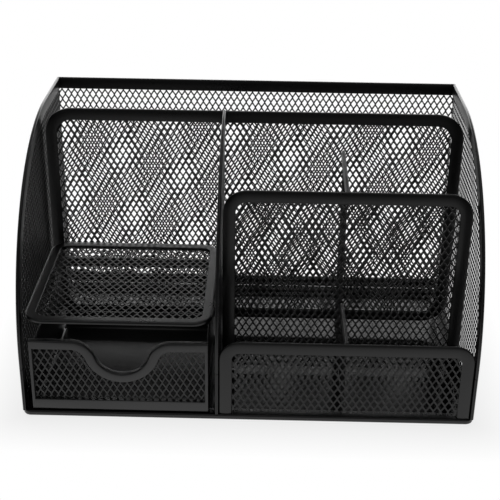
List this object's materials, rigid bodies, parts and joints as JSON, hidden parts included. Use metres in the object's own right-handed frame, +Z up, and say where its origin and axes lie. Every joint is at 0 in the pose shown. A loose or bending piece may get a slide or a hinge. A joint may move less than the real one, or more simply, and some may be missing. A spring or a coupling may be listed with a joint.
{
  "type": "desk pen stand with drawer",
  "caption": "Desk pen stand of expanded steel mesh: a tall rear slot, open cells of stepped height, a mesh tray and a drawer that slides out under the tray.",
  "frame": {"origin": "centre of the bounding box in X and Y, on the surface that the stand rests on", "axes": "+X to the right seen from the front, +Y to the back wall, +Z up; the drawer slides out along -Y"},
  "size_m": [0.22, 0.139, 0.1295],
  "materials": {
    "rim_coat": "satin black powder coat",
    "mesh_coat": "satin black powder coat on expanded mesh",
    "drawer_coat": "satin black powder coat on folded sheet"
  },
  "bodies": {
    "stand": {"base_frame": "rim_coat", "floor_sheet": "rim_coat", "left_side_mesh": "mesh_coat", "left_side_rim": "rim_coat", "left_lower_rim": "rim_coat", "right_side_mesh": "mesh_coat", "right_side_rim": "rim_coat", "right_lower_rim": "rim_coat", "back_mesh": "mesh_coat", "back_top_rim": "rim_coat", "back_lower_rim": "rim_coat", "rear_divider_mesh": "mesh_coat", "rear_divider_rim": "rim_coat", "partition_mesh": "mesh_coat", "partition_rim": "rim_coat", "mid_panel_mesh": "mesh_coat", "mid_panel_rim": "rim_coat", "front_panel_mesh": "mesh_coat", "front_panel_rim": "rim_coat", "rear_cross_mesh": "mesh_coat", "rear_cross_rim": "rim_coat", "front_cross_mesh": "mesh_coat", "front_cross_rim": "rim_coat", "tray_mesh": "mesh_coat", "tray_rim": "rim_coat", "drawer_bar": "rim_coat"},
    "drawer": {"drawer_pan": "drawer_coat", "drawer_front_mesh": "mesh_coat", "drawer_front_rim": "drawer_coat"}
  },
  "joints": [
    {"name": "drawer_slide", "type": "slide", "parent": "stand", "child": "drawer", "axis": [0, -1, 0], "range_m": [0, 0.065]}
  ]
}
